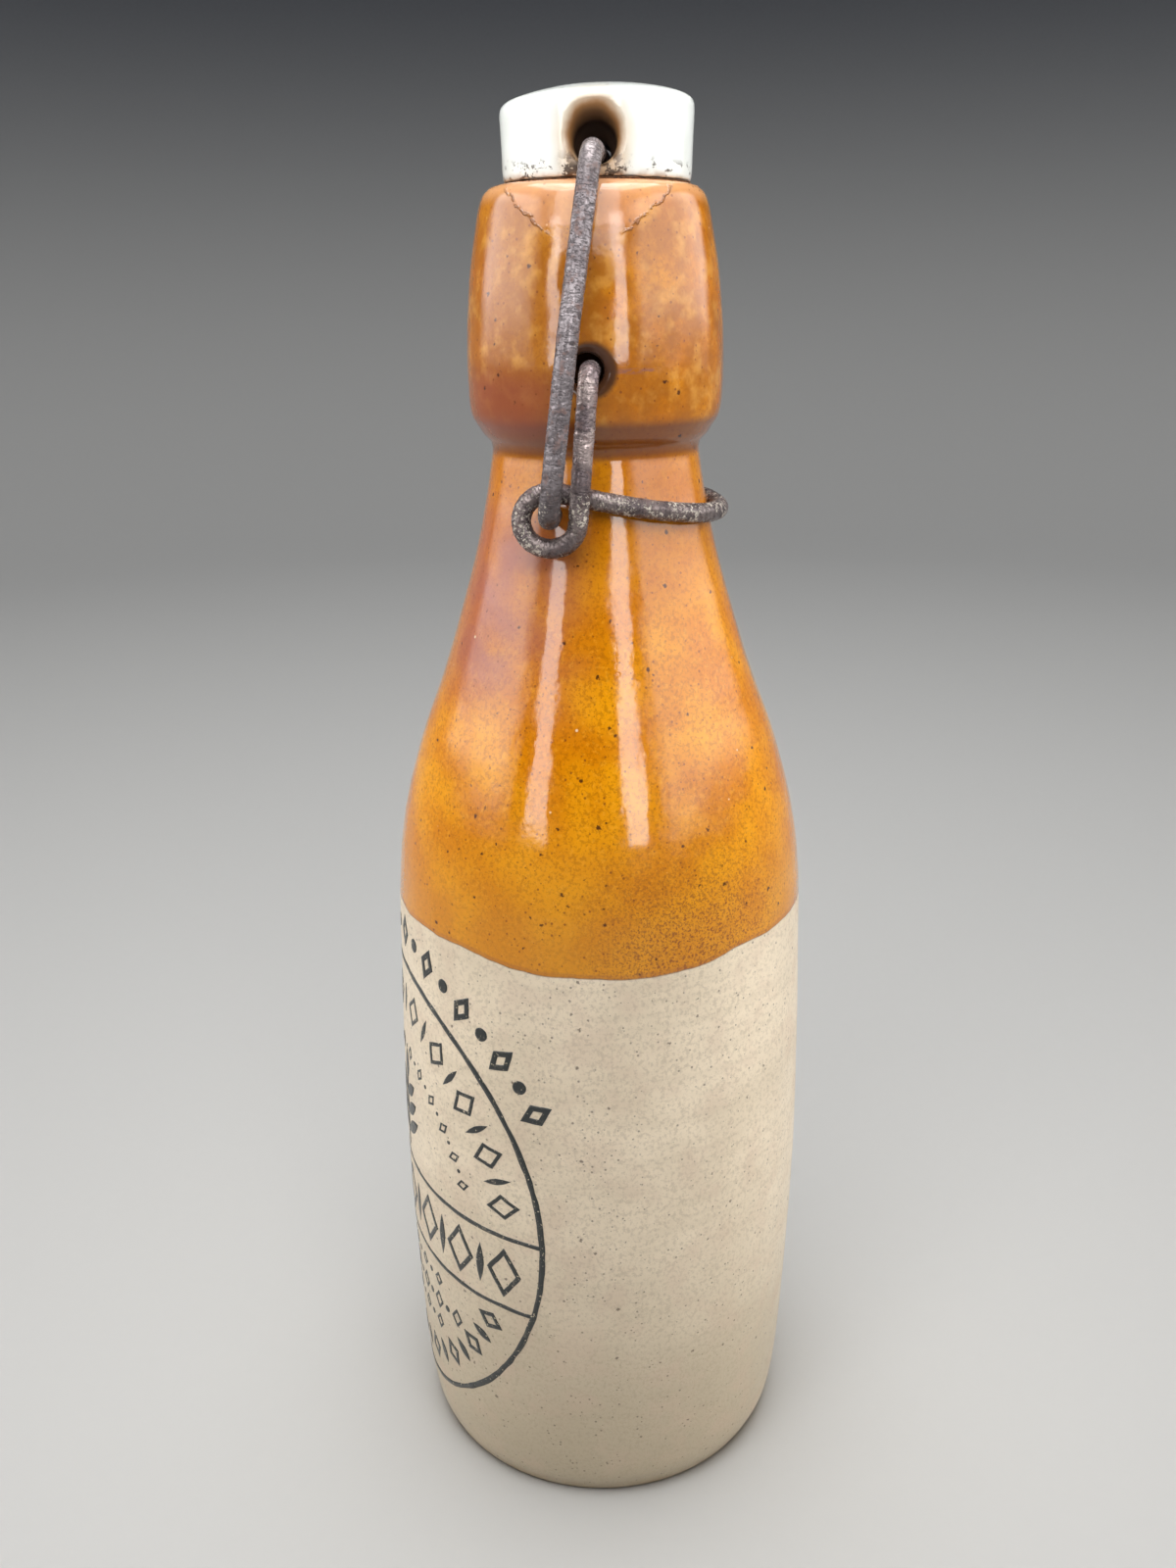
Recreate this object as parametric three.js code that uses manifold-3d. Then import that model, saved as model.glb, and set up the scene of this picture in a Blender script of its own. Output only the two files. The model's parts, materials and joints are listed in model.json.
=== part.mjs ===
// Swing top bottle: a stoneware bottle closed by a porcelain stopper on two bent wires.
// Millimetres, +Z up. The origin is the centre of the base. The two wires pivot on axes
// parallel to X, the lever's loop wraps the back of the neck at +Y, and -Y is the front.

import * as THREE from 'three';
import { mergeVertices } from 'three/addons/utils/BufferGeometryUtils.js';
import Module from 'manifold-3d';

const wasm = await Module();
wasm.setup();

// ---------------------------------------------------------------- driving dimensions

const ROUND = 48; // segments round a turned piece
const HOLE_ROUND = 24; // segments round a hole
const WIRE_SIDES = 10;
const WIRE_STEP = 1.35; // spacing of the sections along a wire
const GAP = 0.3; // clearance between pieces that rest on each other

const BOTTLE = {
  lipZ: 209.8,
  neckZ: 173.4, // narrowest height, where the neck meets the blob top
  bodyRadius: 34.4,
  blobRadius: 19,
  wall: 6.5,
  floor: 7,
  boreRadius: 9.5,
  seatRadius: 12, // the cone the seal sits in opens to this at the lip
  seatDepth: 4,
  footRingInner: 23,
  footRecess: 1.4,
};

const DIMPLE = {
  z: 185.3,
  radius: 2.3,
  mouthRadius: 3.65,
  mouthDepth: 1.5,
  bottomX: 14,
  surfaceX: BOTTLE.blobRadius,
};

const STOPPER = {
  y: 0.5, // it sits a little towards the lever's loop
  noseZ: 203.2,
  noseRadius: 7.6,
  neckRadius: 6.4,
  flangeTopZ: 205.3,
  headZ: BOTTLE.lipZ + 0.55,
  headRadius: 13.45, // at its lower edge
  waistRadius: 13.65,
  waistZ: 216.4,
  shoulderRadius: 13.8,
  shoulderZ: 220.2,
  topZ: 222.8,
  domeSlant: 0.037, // rise of the dome per millimetre towards +Y
  holeY: 0.4, // the cross hole misses the stopper's axis by this
  holeZ: 214.3,
  holeRadius: 2.9,
  mouthZ: 214.9, // the hole's mouths are worn wider and a little higher
  mouthRadius: 3.7,
};

// The three pivot axes, all parallel to X.
const PIVOT = { y: 0.5, z: 185.3 }; // the lever's pin ends, in the dimples
const LINK = { y: -5.05, z: 165.75 }; // the bail's ends, in the lever's eyes
const CROSSBAR = { y: 0.9, z: 213.2 }; // the bail's bar, in the stopper

const BEND = 2.6; // how far before its corner a wire starts to bend

const LEVER = {
  wireRadius: 1.42,
  pinEndX: DIMPLE.bottomX + 0.8,
  topX: 20.8, // the leg beside the dimple
  eyeX: 21.4, // the leg where it meets the eye
  armX: 18.2, // one wire further in, so that the arm passes behind the leg
  eyeY: -5.25,
  eyeZ: 165.1,
  eyeAcross: 4.1, // the eye is slightly flattened: its centre-line radii
  eyeTall: 3.8,
  armFall: THREE.MathUtils.degToRad(11), // the arms fall this much towards the back
  loopY: 1, // where the arms turn into the loop
};

const BAIL = {
  wireRadius: 1.5,
  endX: 17.7,
  legX: 24.65, // outside the lever's leg
  kneeX: 24.2,
  kneeShare: 0.53, // how far up the leg it turns in towards the stopper
  topX: 17.9,
};

// ---------------------------------------------------------------- geometry helpers

const at = (x, y, z) => new THREE.Vector3(x, y, z);
const point = (radius, z) => new THREE.Vector2(radius, z);

// Points of a round corner between two straight sides, as a quadratic curve.
function corner(from, peak, to, pieces = 4) {
  return new THREE.QuadraticBezierCurve(from, peak, to).getPoints(pieces);
}

// A closed body of revolution about +Z from an outline of (radius, height) points.
function turned(outline, segments = ROUND) {
  const geometry = new THREE.LatheGeometry(outline, segments);
  geometry.rotateX(Math.PI / 2);
  return welded(geometry);
}

function welded(geometry) {
  geometry.deleteAttribute('normal');
  geometry.deleteAttribute('uv');
  const merged = mergeVertices(geometry, 1e-4);
  const index = [];
  const old = merged.index.array;
  for (let i = 0; i < old.length; i += 3) {
    const [a, b, c] = [old[i], old[i + 1], old[i + 2]];
    if (a !== b && b !== c && c !== a) index.push(a, b, c);
  }
  merged.setIndex(index);
  return merged;
}

function toSolid(geometry) {
  return new wasm.Manifold(new wasm.Mesh({
    numProp: 3,
    vertProperties: new Float32Array(geometry.attributes.position.array),
    triVerts: new Uint32Array(geometry.index.array),
  }));
}

function toGeometry(solid) {
  const mesh = solid.getMesh();
  const geometry = new THREE.BufferGeometry();
  geometry.setAttribute('position', new THREE.BufferAttribute(mesh.vertProperties, 3));
  geometry.setIndex(new THREE.BufferAttribute(mesh.triVerts, 1));
  return geometry;
}

function cutAway(geometry, cutters) {
  let solid = toSolid(geometry);
  for (const cutter of cutters) solid = solid.subtract(toSolid(cutter));
  return toGeometry(solid);
}

// A turned cutter laid along X: its own +Z becomes `side` times +X.
function alongX(geometry, side, y, z) {
  const laid = geometry.clone();
  laid.rotateY(side * Math.PI / 2);
  laid.translate(0, y, z);
  return laid;
}

// A round wire swept along a centre-line given as points.
function sweptWire(points, radius) {
  const path = new THREE.CatmullRomCurve3(points, false, 'centripetal');
  const circle = new THREE.EllipseCurve(0, 0, radius, radius).getPoints(WIRE_SIDES);
  const section = new THREE.Shape(circle.slice(0, -1));
  const steps = Math.round(path.getLength() / WIRE_STEP);
  return welded(new THREE.ExtrudeGeometry(section, { steps, bevelEnabled: false, extrudePath: path }));
}

// Half a wire that ends on the plane X = 0, followed by its mirror image back from there.
function mirroredPath(half) {
  const other = half.map((p) => at(-p.x, p.y, p.z)).reverse();
  return [...half, ...other.slice(1)];
}

// A bent wire's centre-line through its ends and corners. Each corner is an object with its
// point and how far before and after it the wire bends.
function bentPath(start, corners, end) {
  const spacing = 3; // between points on the straight runs
  const points = [start];
  const stops = [start, ...corners.map((c) => c.point), end];
  const runTo = (to) => {
    const from = points.at(-1);
    const pieces = Math.max(1, Math.round(from.distanceTo(to) / spacing));
    points.push(...new THREE.LineCurve3(from, to).getPoints(pieces).slice(1));
  };
  corners.forEach(({ point: peak, reach }, i) => {
    const before = stops[i].clone().sub(peak).setLength(reach).add(peak);
    const after = stops[i + 2].clone().sub(peak).setLength(reach).add(peak);
    runTo(before);
    points.push(...new THREE.QuadraticBezierCurve3(before, peak, after).getPoints(6).slice(1));
  });
  runTo(end);
  return points;
}

// ---------------------------------------------------------------- stoneware bottle

// The outside from the foot to the narrow neck: a tall body, a long round shoulder, a waist.
function bodyOutline() {
  return new THREE.SplineCurve([
    point(30.2, 0.4),
    point(32, 5.4),
    point(33.3, 20),
    point(BOTTLE.bodyRadius, 55),
    point(33.8, 90),
    point(32.7, 110.5),
    point(29.2, 125.8),
    point(23.7, 141),
    point(19, 156.4),
    point(16.7, 166.6),
    point(15.6, BOTTLE.neckZ),
  ]).getPoints(24);
}

// The outside of the blob top: a chamfered underside, a slightly barrelled side, a round lip.
function blobOutline() {
  const underside = corner(point(15.8, 174.4), point(BOTTLE.blobRadius, 177), point(BOTTLE.blobRadius, 185), 5);
  const side = [point(18.7, 192.5), point(17.9, 200)];
  const lip = corner(point(17.3, 204.7), point(16.6, 209.4), point(14.1, BOTTLE.lipZ), 5);
  return [...underside, ...side, ...lip];
}

// The inside from the mouth down to the floor, one wall thickness in from the outside.
function insideOutline() {
  const mouth = [
    point(BOTTLE.seatRadius + 0.5, BOTTLE.lipZ),
    point(BOTTLE.seatRadius, BOTTLE.lipZ - 0.3),
    point(BOTTLE.boreRadius, BOTTLE.lipZ - BOTTLE.seatDepth),
  ];
  const body = BOTTLE.bodyRadius - BOTTLE.wall;
  const shoulder = new THREE.SplineCurve([
    point(BOTTLE.boreRadius, 168),
    point(11.6, 157),
    point(17, 141),
    point(22.6, 126),
    point(26.6, 109),
    point(body, 88),
  ]).getPoints(9);
  const floor = corner(point(body, 20), point(body, BOTTLE.floor), point(14, BOTTLE.floor), 5);
  return [...mouth, ...shoulder, ...floor, point(0, BOTTLE.floor)];
}

function footOutline() {
  return [
    point(0, BOTTLE.footRecess),
    point(BOTTLE.footRingInner - 4, BOTTLE.footRecess),
    point(BOTTLE.footRingInner, 0),
    point(29.8, 0),
  ];
}

// A blind dimple with a rounded mouth, which takes one pin end of the lever.
function dimpleCutter() {
  const { radius, mouthRadius, mouthDepth, bottomX, surfaceX } = DIMPLE;
  const chamfer = 0.8;
  const beyond = 1.5; // how far the cutter reaches outside the blob
  const flare = corner(
    point(radius, surfaceX - mouthDepth),
    point(radius, surfaceX - 0.2),
    point(mouthRadius, surfaceX),
  );
  return turned([
    point(0, bottomX),
    point(radius - chamfer, bottomX),
    point(radius, bottomX + chamfer),
    ...flare,
    point(mouthRadius + beyond, surfaceX + beyond),
    point(0, surfaceX + beyond),
  ], HOLE_ROUND);
}

function bottleGeometry() {
  const body = turned([...footOutline(), ...bodyOutline(), ...blobOutline(), ...insideOutline()]);
  const cutter = dimpleCutter();
  return cutAway(body, [alongX(cutter, 1, 0, DIMPLE.z), alongX(cutter, -1, 0, DIMPLE.z)]);
}

// ---------------------------------------------------------------- porcelain stopper

function stopperOutline() {
  const nose = [
    point(0, STOPPER.noseZ),
    point(STOPPER.noseRadius - 1.2, STOPPER.noseZ),
    point(STOPPER.noseRadius, STOPPER.noseZ + 0.8),
    point(STOPPER.noseRadius, STOPPER.flangeTopZ - 0.3),
    point(STOPPER.neckRadius, STOPPER.flangeTopZ),
    point(STOPPER.neckRadius, STOPPER.headZ),
  ];
  const lowerEdge = corner(
    point(STOPPER.headRadius - 0.6, STOPPER.headZ),
    point(STOPPER.headRadius, STOPPER.headZ),
    point(STOPPER.headRadius, STOPPER.headZ + 0.6),
    3,
  );
  const upperEdge = corner(
    point(STOPPER.shoulderRadius - 0.05, STOPPER.shoulderZ - 0.9),
    point(STOPPER.shoulderRadius, STOPPER.shoulderZ + 0.2),
    point(STOPPER.shoulderRadius - 1.1, STOPPER.shoulderZ + 0.7),
    4,
  );
  const dome = corner(
    point(STOPPER.shoulderRadius - 2.2, STOPPER.shoulderZ + 1.1),
    point(6.4, STOPPER.topZ),
    point(0, STOPPER.topZ),
    6,
  );
  return [...nose, ...lowerEdge, point(STOPPER.waistRadius, STOPPER.waistZ), ...upperEdge, ...dome];
}

// The hand-pressed dome is not quite square to the axis: it rises towards +Y.
function slantDome(geometry) {
  const position = geometry.attributes.position;
  const blend = STOPPER.shoulderZ - STOPPER.holeZ;
  for (let i = 0; i < position.count; i += 1) {
    const share = THREE.MathUtils.clamp((position.getZ(i) - STOPPER.holeZ) / blend, 0, 1);
    position.setZ(i, position.getZ(i) + share * STOPPER.domeSlant * position.getY(i));
  }
  return geometry;
}

// The cross hole runs right through the head, on a 24-sided bore.
function boreCutter() {
  const halfLength = STOPPER.shoulderRadius + 1;
  return turned([
    point(0, -halfLength),
    point(STOPPER.holeRadius, -halfLength),
    point(STOPPER.holeRadius, halfLength),
    point(0, halfLength),
  ], HOLE_ROUND);
}

// The round-edged mouth at each end of the cross hole.
function mouthCutter() {
  const surface = STOPPER.shoulderRadius - 0.2;
  const flare = corner(
    point(STOPPER.mouthRadius - 1.2, surface - 2.4),
    point(STOPPER.mouthRadius - 0.8, surface - 0.6),
    point(STOPPER.mouthRadius, surface),
    3,
  );
  return turned([
    point(0, surface - 2.4),
    ...flare,
    point(STOPPER.mouthRadius + 1, surface + 1),
    point(0, surface + 1),
  ], HOLE_ROUND);
}

function stopperGeometry() {
  const body = slantDome(turned(stopperOutline()));
  const mouth = mouthCutter();
  const drilled = cutAway(body, [
    alongX(boreCutter(), 1, STOPPER.holeY, STOPPER.holeZ),
    alongX(mouth, 1, STOPPER.holeY, STOPPER.mouthZ),
    alongX(mouth, -1, STOPPER.holeY, STOPPER.mouthZ),
  ]);
  drilled.translate(0, STOPPER.y, 0);
  return drilled;
}

// ---------------------------------------------------------------- rubber seal

// A tapered ring on the stopper's nose, just inside the cone of the mouth.
function sealGeometry() {
  const taper = (BOTTLE.seatRadius - BOTTLE.boreRadius) / BOTTLE.seatDepth;
  const clearance = GAP + STOPPER.y; // the seal is off centre with the stopper
  const clearRadius = (z) => BOTTLE.boreRadius + taper * (z - BOTTLE.lipZ + BOTTLE.seatDepth) - clearance;
  const bottom = STOPPER.flangeTopZ + GAP;
  const top = STOPPER.headZ - GAP;
  const inner = STOPPER.neckRadius + GAP;
  const ring = turned([
    point(inner, bottom),
    point(clearRadius(bottom + 0.7) - 0.5, bottom),
    point(clearRadius(bottom + 0.7), bottom + 0.7),
    point(clearRadius(top - 0.5), top - 0.5),
    point(clearRadius(top - 0.5) - 0.3, top),
    point(inner, top),
    point(inner, bottom),
  ]);
  ring.translate(0, STOPPER.y, 0);
  return ring;
}

// ---------------------------------------------------------------- wires

// The eye: three quarters of a turn from the leg's foot, under, up the front and over into the
// arm, moving inwards by one wire as it goes.
function eyePath() {
  const { eyeY, eyeZ, eyeAcross, eyeTall, eyeX, armX, armFall } = LEVER;
  // Where the leg touches the ellipse, found with Y scaled so that the ellipse is a circle.
  const pivotY = (PIVOT.y - eyeY) * (eyeTall / eyeAcross);
  const pivotZ = PIVOT.z - eyeZ;
  const enter = Math.atan2(pivotZ, pivotY) - Math.acos(eyeTall / Math.hypot(pivotY, pivotZ));
  const leave = Math.atan2(eyeTall, eyeAcross * Math.tan(armFall)) - 2 * Math.PI;
  const pieces = 16;
  const points = [];
  for (let i = 0; i <= pieces; i += 1) {
    const angle = THREE.MathUtils.lerp(enter, leave, i / pieces);
    const x = THREE.MathUtils.lerp(eyeX, armX, i / pieces);
    points.push(at(x, eyeY + eyeAcross * Math.cos(angle), eyeZ + eyeTall * Math.sin(angle)));
  }
  return points;
}

// The arm and a quarter turn of loop, in a plane that falls towards the back of the neck.
function armPath(start) {
  const along = at(0, Math.cos(LEVER.armFall), -Math.sin(LEVER.armFall));
  const armEnd = start.clone().addScaledVector(along, (LEVER.loopY - start.y) / along.y);
  const loopCentre = at(0, armEnd.y, armEnd.z);
  const pieces = 14;
  const points = [start.clone().lerp(armEnd, 0.5), armEnd];
  for (let i = 1; i <= pieces; i += 1) {
    const angle = (i / pieces) * Math.PI / 2;
    const sideways = at(LEVER.armX * Math.cos(angle), 0, 0);
    points.push(loopCentre.clone().add(sideways).addScaledVector(along, LEVER.armX * Math.sin(angle)));
  }
  return points;
}

// Half of the lever: pin, leg, eye, arm, and half of the loop round the neck.
function leverHalf() {
  const eye = eyePath();
  const leg = bentPath(
    at(LEVER.pinEndX, PIVOT.y, PIVOT.z),
    [{ point: at(LEVER.topX, PIVOT.y, PIVOT.z), reach: BEND }],
    eye[0],
  );
  return [...leg, ...eye.slice(1), ...armPath(eye.at(-1))];
}

// Half of the bail: an end through the lever's eye, a leg that turns in towards the stopper
// once it is past the lever's pin, and half of the crossbar.
function bailHalf() {
  const foot = at(BAIL.legX, LINK.y, LINK.z);
  const head = at(BAIL.topX, CROSSBAR.y, CROSSBAR.z);
  const knee = foot.clone().lerp(head, BAIL.kneeShare).setX(BAIL.kneeX);
  return bentPath(
    at(BAIL.endX, LINK.y, LINK.z),
    [{ point: foot, reach: BEND }, { point: knee, reach: 5 }, { point: head, reach: BEND }],
    at(0, CROSSBAR.y, CROSSBAR.z),
  );
}

// ---------------------------------------------------------------- materials and assembly

function material(color, roughness, metalness = 0) {
  return new THREE.MeshStandardMaterial({ color, roughness, metalness });
}

const stoneware = material('#b9853f', 0.22);
const porcelain = material('#eeefe9', 0.15);
const rubber = material('#2a2522', 0.85);
const rustedWire = material('#6b625f', 0.6, 0.7);

function piece(name, geometry, finish) {
  const mesh = new THREE.Mesh(geometry, finish);
  mesh.name = name;
  return mesh;
}

const bottle = new THREE.Group();
bottle.add(
  piece('stoneware_bottle', bottleGeometry(), stoneware),
  piece('lever_wire', sweptWire(mirroredPath(leverHalf()), LEVER.wireRadius), rustedWire),
  piece('bail_wire', sweptWire(mirroredPath(bailHalf()), BAIL.wireRadius), rustedWire),
  piece('porcelain_stopper', stopperGeometry(), porcelain),
  piece('rubber_seal', sealGeometry(), rubber),
);

export default bottle;
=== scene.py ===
# Swing top bottle: the looks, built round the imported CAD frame.
# Lengths in this script are millimetres, turned into Blender's metres by MM.

import json
import math

import bpy
import numpy as np
from mathutils import Matrix, Vector, noise


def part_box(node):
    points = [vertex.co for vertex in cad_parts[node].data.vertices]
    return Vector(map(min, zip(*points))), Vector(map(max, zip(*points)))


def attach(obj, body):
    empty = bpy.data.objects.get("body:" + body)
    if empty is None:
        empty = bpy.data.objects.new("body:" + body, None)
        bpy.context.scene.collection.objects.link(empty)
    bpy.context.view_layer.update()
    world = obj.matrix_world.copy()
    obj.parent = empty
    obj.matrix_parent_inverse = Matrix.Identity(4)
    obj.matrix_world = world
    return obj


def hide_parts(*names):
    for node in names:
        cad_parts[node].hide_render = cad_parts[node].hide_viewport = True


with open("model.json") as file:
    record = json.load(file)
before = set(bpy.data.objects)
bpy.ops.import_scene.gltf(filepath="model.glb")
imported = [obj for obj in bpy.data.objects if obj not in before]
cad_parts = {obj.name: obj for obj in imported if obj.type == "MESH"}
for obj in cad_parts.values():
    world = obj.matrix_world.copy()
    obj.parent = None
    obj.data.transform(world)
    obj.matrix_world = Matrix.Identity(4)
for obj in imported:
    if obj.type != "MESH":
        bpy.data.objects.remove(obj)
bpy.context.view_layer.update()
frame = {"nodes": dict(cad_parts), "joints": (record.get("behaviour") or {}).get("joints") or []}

MM = 0.001

# ---------------------------------------------------------------- reading the frame


def corners(node):
    low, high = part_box(node)
    return low / MM, high / MM


def axis_of(joint_name):
    """Where a joint's axis, which runs along X, crosses the plane X = 0, as (y, z)."""
    joint = next(j for j in frame["joints"] if j["name"] == joint_name)
    return joint["pos_m"][1] / MM, joint["pos_m"][2] / MM


def welded(node):
    """The points of a CAD node, shared corners counted once, and each point's neighbours."""
    mesh = frame["nodes"][node].data
    same = 0.01
    found = {}
    points = []
    place = []
    for vertex in mesh.vertices:
        point = vertex.co / MM
        key = tuple(round(value / same) for value in point)
        if key not in found:
            found[key] = len(points)
            points.append(point)
        place.append(found[key])
    neighbours = [set() for _ in points]
    for edge in mesh.edges:
        a, b = (place[i] for i in edge.vertices)
        if a != b:
            neighbours[a].add(b)
            neighbours[b].add(a)
    return points, neighbours


def outline_of(node, centre_y=0.0, side=1):
    """The outline of a turned CAD node as (radius, height) rows, from its lowest point on the
    axis. It is read where the node meets the plane X = 0 on one side of the axis."""
    close = 0.02
    points, neighbours = welded(node)
    left = {i for i, p in enumerate(points) if abs(p.x) < close and side * (p.y - centre_y) > -close}
    current = min((i for i in left if abs(points[i].y - centre_y) < close), key=lambda i: points[i].z)
    chain = []
    while True:
        left.discard(current)
        chain.append((side * (points[current].y - centre_y), points[current].z))
        ahead = [i for i in neighbours[current] if i in left]
        if not ahead:  # a flat face may have no edge along this line
            ahead = [i for i in left if abs(points[i].z - points[current].z) < close]
        if not ahead:
            break
        current = min(ahead, key=lambda i: (points[i] - points[current]).length)
    return np.array(chain)


def wire_line(node, axis, reach):
    """The centre-line of a bent CAD wire, from the end at +X that lies on the axis (y, z)."""
    points, neighbours = welded(node)
    near = [i for i, p in enumerate(points) if p.x > 0 and math.hypot(p.y - axis[0], p.z - axis[1]) < reach]
    end = min(points[i].x for i in near)
    layer = {i for i in near if points[i].x < end + 0.05}
    seen = set(layer)
    line = []
    while layer:
        line.append(sum((points[i] for i in layer), Vector()) / len(layer))
        layer = {j for i in layer for j in neighbours[i]} - seen
        seen |= layer
    return np.array([tuple(p) for p in line])


BOTTLE_LOW, BOTTLE_HIGH = corners("stoneware_bottle")
STOPPER_LOW, STOPPER_HIGH = corners("porcelain_stopper")
LIP_Z = BOTTLE_HIGH.z
STOPPER_Y = (STOPPER_LOW.y + STOPPER_HIGH.y) / 2
PIVOT = axis_of("lever_swing")
LINK = axis_of("bail_pivot")
CROSSBAR = axis_of("stopper_tilt")

# Heights on the bottle, as fractions of the height of the lip.
NECK_Z = 0.8265 * LIP_Z  # the narrow neck under the blob top
GLAZE_Z = 0.4867 * LIP_Z  # where the honey glaze ends

DIMPLE_RADIUS = 2.3
DIMPLE_BOTTOM = 14.0
BLOB_RADIUS = 19.0
HOLE_RADIUS = 2.9
HOLE_Z = 214.3
MOUTH_Z = 214.9
BORE_SILT = 0.9  # the middle of the cross hole is narrower, with old dirt in its roof

LEVER_RADIUS = 1.42
BAIL_RADIUS = 1.5

CAMERA_PLACE = Vector((215.0, 14.1, 195.0))
CAMERA_PITCH = 19.44  # degrees below the horizon
CAMERA_ROLL = 0.57
CAMERA_BEARING = 94.2
CAMERA_LENS = 31.76  # millimetres, for a 36 mm sensor on the long side

# ---------------------------------------------------------------- curves and noise


def eased(points, step, closed=False):
    """A centripetal Catmull-Rom curve through the points, with a point about every step."""
    points = np.asarray(points, float)
    if closed:
        rows = np.vstack([points[-1], points, points[0], points[1]])
    else:
        first = 2 * points[0] - points[1]
        last = 2 * points[-1] - points[-2]
        rows = np.vstack([first, points, last])
    curve = []
    for i in range(1, len(rows) - 2):
        p = rows[i - 1:i + 3]
        gaps = np.sqrt(np.linalg.norm(np.diff(p, axis=0), axis=1))
        knots = np.concatenate([[0], np.cumsum(gaps)])
        pieces = max(1, round(np.linalg.norm(p[2] - p[1]) / step))
        for t in np.linspace(knots[1], knots[2], pieces, endpoint=False):
            a = [blend(p[k], p[k + 1], t, knots[k], knots[k + 1]) for k in range(3)]
            b = [blend(a[k], a[k + 1], t, knots[k], knots[k + 2]) for k in range(2)]
            curve.append(blend(b[0], b[1], t, knots[1], knots[2]))
    if not closed:
        curve.append(points[-1])
    return np.array(curve)


def blend(start, end, value, low, high):
    share = (value - low) / (high - low)
    return start * (1 - share) + end * share


def rise(value, low, high):
    """0 below low, 1 above high, and a smooth step between them."""
    share = min(1.0, max(0.0, (value - low) / (high - low)))
    return share * share * (3 - 2 * share)


def grain(x, y, z, size):
    """Smooth noise between about -1 and 1, with lumps of the given size."""
    return noise.noise(Vector((x, y, z)) / size)


# ---------------------------------------------------------------- mesh helpers


def mesh_object(name, points, faces, material):
    mesh = bpy.data.meshes.new(name)
    mesh.from_pydata([tuple(p) for p in np.asarray(points) * MM], [], faces)
    mesh.update()
    mesh.shade_smooth()
    mesh.materials.append(material)
    obj = bpy.data.objects.new(name, mesh)
    bpy.context.scene.collection.objects.link(obj)
    return obj


def grid_faces(rows, columns, wrap_rows=False):
    """Quads between rows of points that each run once round."""
    faces = []
    for i in range(rows if wrap_rows else rows - 1):
        here, above = i * columns, ((i + 1) % rows) * columns
        for j in range(columns):
            k = (j + 1) % columns
            faces.append((here + j, here + k, above + k, above + j))
    return faces


def turned(outline, segments, centre_y=0.0, shift=None):
    """A body of revolution from an outline whose two ends lie on the axis."""
    angles = np.arange(segments) * (math.tau / segments)
    rows = outline[1:-1]
    points = []
    for i, (radius, z) in enumerate(rows):
        for angle in angles:
            moved = radius + (shift(i + 1, angle, z) if shift else 0)
            points.append((moved * math.cos(angle), centre_y + moved * math.sin(angle), z))
    faces = grid_faces(len(rows), segments)
    first, last = len(points), len(points) + 1
    points += [(0, centre_y, outline[0][1]), (0, centre_y, outline[-1][1])]
    top = (len(rows) - 1) * segments
    for j in range(segments):
        k = (j + 1) % segments
        faces.append((first, k, j))
        faces.append((top + j, top + k, last))
    return points, faces


def bore(rings, side, centre_y, body_radius, body_y, segments=64):
    """A cutter along X from rings of (depth below the surface, radius, height). It follows the
    round side of the body it cuts, so that a flared mouth has an even edge."""
    points = []
    for depth, radius, z in rings:
        for j in range(segments):
            angle = math.tau * j / segments
            y = centre_y + radius * math.cos(angle)
            offset = y - body_y
            bulge = math.sqrt(body_radius ** 2 - offset ** 2)
            points.append((side * (bulge - depth), y, z + radius * math.sin(angle)))
    faces = grid_faces(len(rings), segments)
    faces.append(tuple(range(segments))[::-1])
    faces.append(tuple(range((len(rings) - 1) * segments, len(rings) * segments)))
    if side < 0:
        faces = [face[::-1] for face in faces]
    return points, faces


def cut(obj, cutters):
    """Takes the cutters away from obj."""
    for points, faces in cutters:
        tool = mesh_object("cutter", points, faces, obj.data.materials[0])
        modifier = obj.modifiers.new("cut", "BOOLEAN")
        modifier.operation = "DIFFERENCE"
        modifier.solver = "EXACT"
        modifier.object = tool
        bpy.context.view_layer.update()
        result = bpy.data.meshes.new_from_object(obj.evaluated_get(bpy.context.evaluated_depsgraph_get()))
        obj.modifiers.clear()
        obj.data = result
        bpy.data.objects.remove(tool)
    obj.data.shade_smooth()


# ---------------------------------------------------------------- material helpers


def linear(red, green, blue):
    """A colour given in 0 to 255 steps as it is seen, as Blender's linear light."""
    seen = (channel / 255 for channel in (red, green, blue))
    return (*(c / 12.92 if c < 0.04045 else ((c + 0.055) / 1.055) ** 2.4 for c in seen), 1.0)


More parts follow.
